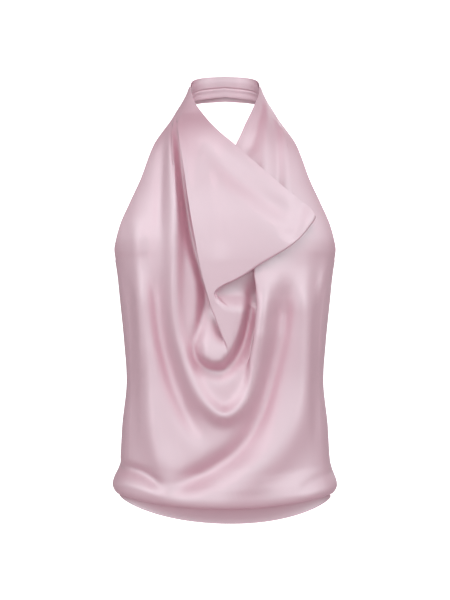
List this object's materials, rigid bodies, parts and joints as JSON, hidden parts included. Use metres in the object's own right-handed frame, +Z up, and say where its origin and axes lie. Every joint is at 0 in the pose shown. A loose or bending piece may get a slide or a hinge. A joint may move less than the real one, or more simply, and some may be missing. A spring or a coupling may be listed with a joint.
{
  "type": "backless halter top",
  "caption": "Satin halter top with a deep draped cowl folded across the front, an open low back and a blouson hem, filled out as worn.",
  "frame": {"origin": "nape: inner face of the neckband at centre back, at half its height", "axes": "+Z up, the front of the garment faces -Y, +X to the right as seen from the front"},
  "size_m": [0.336, 0.241, 0.6656],
  "materials": {
    "satin": "soft satin sheen"
  },
  "bodies": {
    "root": {"front": "satin", "back": "satin", "hem_band": "satin", "neckband": "satin", "neckband_facing": "satin"}
  },
  "joints": []
}
